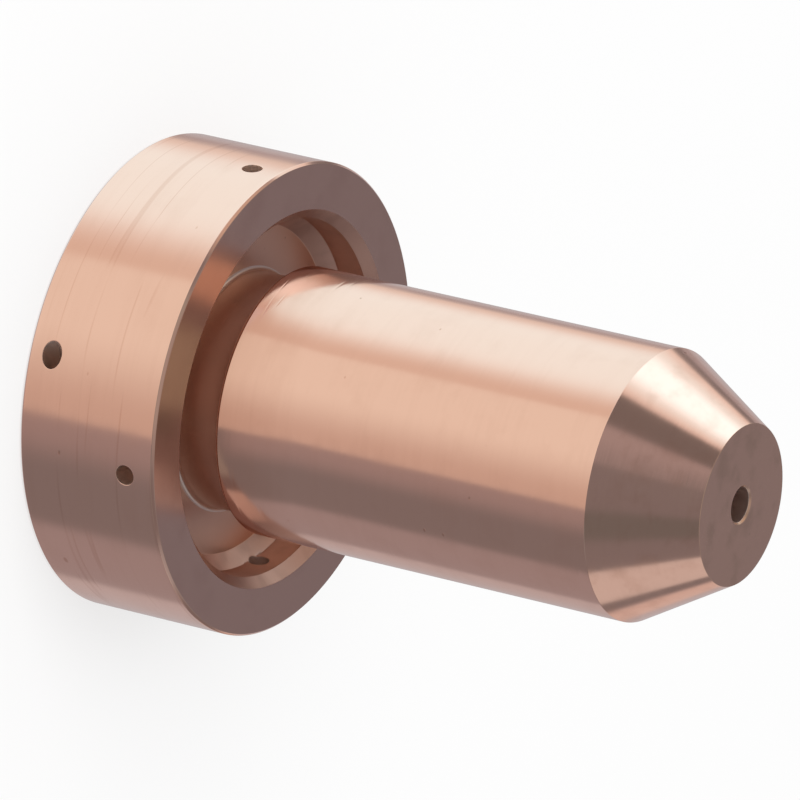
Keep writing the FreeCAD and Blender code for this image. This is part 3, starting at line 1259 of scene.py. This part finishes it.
@dataclass(frozen=True)
class PhotoView:
    """The camera of the photograph, worked out from the nozzle's edges in it."""

    azimuth: float = math.radians(-26.4)
    elevation: float = math.radians(29.15)
    roll: float = math.radians(102.94)
    distance: float = 422.5 * MM
    focal_px: float = 10766.0
    frame_px: float = 800.0
    front_face_x_px: float = 284.09
    front_face_y_px: float = 399.46
    sensor_mm: float = 36.0
    clip_near: float = 0.01
    clip_far: float = 10.0

    def heading(self) -> Vector:
        """The level direction in which the camera looks."""
        return Vector((-math.sin(self.azimuth), math.cos(self.azimuth), 0.0))

    def axes(self) -> tuple[Vector, Vector, Vector]:
        """Works out how the camera stands.

        Returns:
            Its right, up and forward directions.
        """
        forward = self.heading() * math.cos(self.elevation) - Vector((0, 0, math.sin(self.elevation)))
        level_right = forward.cross(Vector((0, 0, 1))).normalized()
        level_up = level_right.cross(forward)
        right = level_right * math.cos(self.roll) + level_up * math.sin(self.roll)
        return right, right.cross(forward), forward

    def make(self, target: Vector) -> None:
        """Makes the camera.

        Args:
            target: the middle of the flange's front face, whose place in the photograph is known.
        """
        right, up, forward = self.axes()
        across = (self.front_face_x_px - self.frame_px / 2) / self.focal_px
        down = (self.front_face_y_px - self.frame_px / 2) / self.focal_px
        data = bpy.data.cameras.new("photo_camera")
        data.sensor_width = self.sensor_mm
        data.lens = self.focal_px * self.sensor_mm / self.frame_px
        data.clip_start, data.clip_end = self.clip_near, self.clip_far
        camera = add_object("photo_camera", data)
        camera.matrix_world = Matrix((right, up, -forward)).transposed().to_4x4()
        camera.location = target - (forward + right * across - up * down) * self.distance
        bpy.context.scene.camera = camera


@dataclass(frozen=True)
class Panel:
    """A soft panel of the studio, by where it stands as seen from the nozzle.

    Bearings are degrees round the nozzle from the camera, and rises are degrees above the level.
    """

    name: str
    bearing: float
    half_width: float
    side_softness: float
    low: float
    high: float
    edge_softness: float
    light: Colour


ROOM_LIGHT: Colour = (0.215, 0.20, 0.205)
# Each panel lies over the ones before it.
PANELS = (
    Panel("table_spill", 20.0, 30.0, 10.0, -90.0, -6.0, 6.0, (0.33, 0.28, 0.28)),
    Panel("far_bounce", 112.0, 20.0, 4.0, -90.0, -14.0, 6.0, (0.335, 0.30, 0.31)),
    Panel("far_strip", 172.0, 40.0, 3.0, -90.0, -2.0, 3.0, (0.50, 0.47, 0.48)),
    Panel("far_glow", 143.0, 10.0, 4.0, -18.0, 2.0, 4.0, (0.64, 0.53, 0.48)),
    Panel("overhead", 0.0, 190.0, 1.0, 54.0, 120.0, 5.0, (0.38, 0.34, 0.32)),
    Panel("far_upper", 122.0, 34.0, 8.0, 24.0, 38.0, 5.0, (0.39, 0.39, 0.40)),
    Panel("behind", 180.0, 30.0, 8.0, 8.0, 56.0, 5.0, (0.235, 0.214, 0.235)),
    Panel("shade", 46.0, 13.0, 5.0, 19.0, 46.0, 3.0, (0.165, 0.165, 0.16)),
    Panel("side_lift", 57.0, 16.0, 4.0, 0.0, 17.0, 4.0, (0.34, 0.37, 0.36)),
    Panel("front_upper", -7.0, 39.0, 6.0, 35.5, 56.0, 3.0, (0.35, 0.385, 0.335)),
    Panel("upper_haze", -24.0, 17.0, 2.0, 22.0, 32.0, 1.5, (0.385, 0.34, 0.34)),
    Panel("upper_shade", -57.0, 15.0, 6.0, 19.5, 33.0, 1.5, (0.185, 0.17, 0.165)),
    Panel("side_card", 103.8, 17.0, 1.0, 3.5, 21.0, 2.0, (0.60, 0.56, 0.53)),
    Panel("table", -6.75, 39.25, 0.7, -90.0, 9.0, 4.0, (0.60, 0.49, 0.42)),
    Panel("table_glow", -60.0, 66.0, 20.0, -90.0, 5.0, 6.0, (0.83, 0.78, 0.69)),
    Panel("side_wall", -96.0, 50.0, 1.0, -90.0, -14.0, 6.0, (0.72, 0.61, 0.52)),
    Panel("root_side", -62.0, 16.0, 1.0, -22.0, 2.0, 3.0, (0.72, 0.61, 0.52)),
    Panel("left_lift", -62.0, 16.0, 3.0, 6.0, 17.0, 3.0, (0.98, 1.02, 1.10)),
    Panel("far_edge", -150.0, 5.0, 3.0, -90.0, -10.0, 4.0, (0.36, 0.31, 0.32)),
    Panel("key_fringe_low", -103.0, 40.0, 16.0, -90.0, -12.0, 6.0, (0.84, 0.79, 0.73)),
    Panel("key_low", -97.0, 31.0, 14.0, -90.0, -12.0, 6.0, (0.94, 1.08, 1.08)),
    Panel("key_upper", -102.0, 26.0, 8.0, 25.5, 60.0, 8.0, (0.58, 0.47, 0.39)),
    Panel("key_fringe", -102.5, 33.5, 2.0, -10.0, 23.5, 1.5, (0.84, 0.70, 0.62)),
    Panel("key", -102.0, 26.0, 13.0, -90.0, 22.5, 2.0, (0.96, 1.16, 1.18)),
    Panel("key_core", -100.5, 14.0, 8.0, 4.0, 21.5, 3.0, (1.30, 1.60, 1.70)),
)


class Studio:
    """The floor, the lamp and the panels that the copper reflects."""

    FLOOR_DROP = 0.02 * MM
    FLOOR_SIZE = 3.0
    FLOOR_COLOUR: Colour = (0.9, 0.9, 0.9)
    SHADOW_SHARE = 0.35
    PLAIN_LIGHT: Colour = (0.78, 0.78, 0.78)
    LAMP_SIZE = 0.35
    LAMP_POWER = 1.3
    LAMP_PLACE = (-0.25, -0.1, 0.5)

    def __init__(self, view: PhotoView) -> None:
        """Takes its bearings from the camera's heading."""
        self.view = view

    def build(self) -> None:
        """Makes the whole studio."""
        self._make_world()
        self._make_floor()
        self._make_lamp()
        bpy.context.scene.view_settings.view_transform = "Standard"

    def _panel_mask(self) -> bpy.types.NodeTree:
        """Builds the group that all panels share.

        Returns:
            A group that gives how much of a panel lies in a direction.
        """
        effect = SharedEffect("panel_mask", (
            "Bearing", "Rise", "Middle", "Half Width", "Side Softness", "Low", "High", "Edge Softness",
        ), {"Mask": SocketKind.NUMBER})
        wiring, source = effect.wiring, effect.source
        aside = wiring.math("SUBTRACT", source["Bearing"], source["Middle"])
        aside = wiring.math("ABSOLUTE", wiring.math("WRAP", aside, -HALF_TURN_DEGREES, HALF_TURN_DEGREES))
        outer = wiring.math("ADD", source["Half Width"], source["Side Softness"])
        inner = wiring.math("SUBTRACT", source["Half Width"], source["Side Softness"])
        mask = wiring.ramp(aside, outer, inner)
        for edge, sign in (("Low", 1.0), ("High", -1.0)):
            faded = wiring.math("MULTIPLY_ADD", source["Edge Softness"], -sign, source[edge])
            full = wiring.math("MULTIPLY_ADD", source["Edge Softness"], sign, source[edge])
            mask = wiring.math("MULTIPLY", mask, wiring.ramp(source["Rise"], faded, full))
        wiring.feed(effect.result["Mask"], mask)
        return effect.tree

    def _panel_light(self, wiring: Wiring) -> Source:
        """Lays the panels over the room's light.

        Args:
            wiring: the wiring of the world.

        Returns:
            The light that comes from each direction.
        """
        direction = wiring.add("ShaderNodeTexCoord").outputs["Generated"]
        heading = self.view.heading()
        toward_camera = wiring.vector("DOT_PRODUCT", direction, tuple(-heading))
        toward_side = wiring.vector("DOT_PRODUCT", direction, (heading.y, -heading.x, 0.0))
        bearing = wiring.math("DEGREES", wiring.math("ARCTAN2", toward_side, toward_camera))
        upward = wiring.vector("DOT_PRODUCT", direction, (0.0, 0.0, 1.0))
        rise = wiring.math("DEGREES", wiring.math("ARCSINE", upward))
        group = self._panel_mask()
        light: Source = opaque(ROOM_LIGHT)
        for panel in PANELS:
            mask = wiring.place(
                group, Bearing=bearing, Rise=rise, Middle=panel.bearing, Half_Width=panel.half_width,
                Side_Softness=panel.side_softness, Low=panel.low, High=panel.high,
                Edge_Softness=panel.edge_softness)
            mask.label = panel.name
            light = wiring.blend(mask.outputs["Mask"], light, opaque(panel.light))
        return light

    def _make_world(self) -> None:
        """White for the camera, the panels for reflections, and one plain level for the rest."""
        world = bpy.data.worlds.new("studio")
        world.use_nodes = True
        world.cycles.sampling_method = "NONE"
        bpy.context.scene.world = world
        wiring = Wiring(world.node_tree)
        light = self._panel_light(wiring)
        rays = wiring.add("ShaderNodeLightPath").outputs
        light = wiring.blend(rays["Is Glossy Ray"], opaque(self.PLAIN_LIGHT), light)
        seen = wiring.math("MAXIMUM", rays["Is Camera Ray"], rays["Is Transmission Ray"])
        light = wiring.blend(seen, light, opaque(WHITE))
        wiring.feed(world.node_tree.nodes["Background"].inputs["Color"], light)

    def _make_floor(self) -> None:
        """A pale floor just under the rear face. It keeps the shadow, and isn't in the reflections."""
        mesh = bpy.data.meshes.new("floor")
        half = self.FLOOR_SIZE / 2
        corners = [(-half, -half, 0), (half, -half, 0), (half, half, 0), (-half, half, 0)]
        mesh.from_pydata(corners, [], [(0, 1, 2, 3)])
        floor = add_object("floor", mesh)
        floor.location.z = -self.FLOOR_DROP
        floor.visible_glossy = False
        material, wiring, shader = start_material("pale_floor")
        shader.inputs["Base Color"].default_value = opaque(self.FLOOR_COLOUR)
        shader.inputs["Roughness"].default_value = 1.0
        shader.inputs["Specular IOR Level"].default_value = 0.0
        glow = wiring.add("ShaderNodeEmission")
        rays = wiring.add("ShaderNodeLightPath").outputs
        seen = wiring.math("MAXIMUM", rays["Is Camera Ray"], rays["Is Transmission Ray"])
        mix = wiring.add("ShaderNodeMixShader")
        wiring.feed(mix.inputs[0], wiring.math("MULTIPLY", seen, 1.0 - self.SHADOW_SHARE))
        wiring.feed(mix.inputs[1], shader.outputs[0])
        wiring.feed(mix.inputs[2], glow.outputs[0])
        wiring.feed(material.node_tree.nodes["Material Output"].inputs["Surface"], mix.outputs[0])
        mesh.materials.append(material)

    def _make_lamp(self) -> None:
        """A large soft lamp overhead, on the side of the key panel."""
        data = bpy.data.lights.new("soft_lamp", "AREA")
        data.shape = "SQUARE"
        data.size = self.LAMP_SIZE
        data.energy = self.LAMP_POWER
        lamp = add_object("soft_lamp", data)
        lamp.location = self.LAMP_PLACE
        lamp.rotation_euler = (-lamp.location).to_track_quat("-Z", "Y").to_euler()
        lamp.visible_glossy = False


def dress_nozzle(sizes: NozzleSizes) -> bpy.types.Object:
    """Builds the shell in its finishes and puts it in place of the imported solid.

    Args:
        sizes: the nozzle's sizes.

    Returns:
        The shell's object.
    """
    coordinates = LatheCoordinates().make()
    effects = SharedEffects(
        coordinates=coordinates,
        marks=TurningMarks().make(coordinates),
        handling=HandlingMarks().make(coordinates))
    finishes = {zone: finish.make(effects) for zone, finish in FINISHES.items()}
    shell = Nozzle(sizes).build(finishes)
    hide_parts(NODE)
    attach(shell, BODY)
    return shell


def main() -> None:
    """Builds the nozzle from the imported solid's sizes, then the studio and the camera, and logs the
    shell's faces.
    """
    logging.basicConfig(level=logging.INFO, format="%(name)s: %(message)s")
    low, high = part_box(NODE)
    sizes = NozzleSizes(flange_radius=high.x, total_height=high.z)
    shell = dress_nozzle(sizes)
    LOG.info("%s: %d faces", shell.name, len(shell.data.polygons))
    view = PhotoView()
    Studio(view).build()
    view.make(Vector((0, 0, sizes.flange_thickness)))
    LOG.info("studio and camera are in place")


if __name__ == "__main__":
    main()
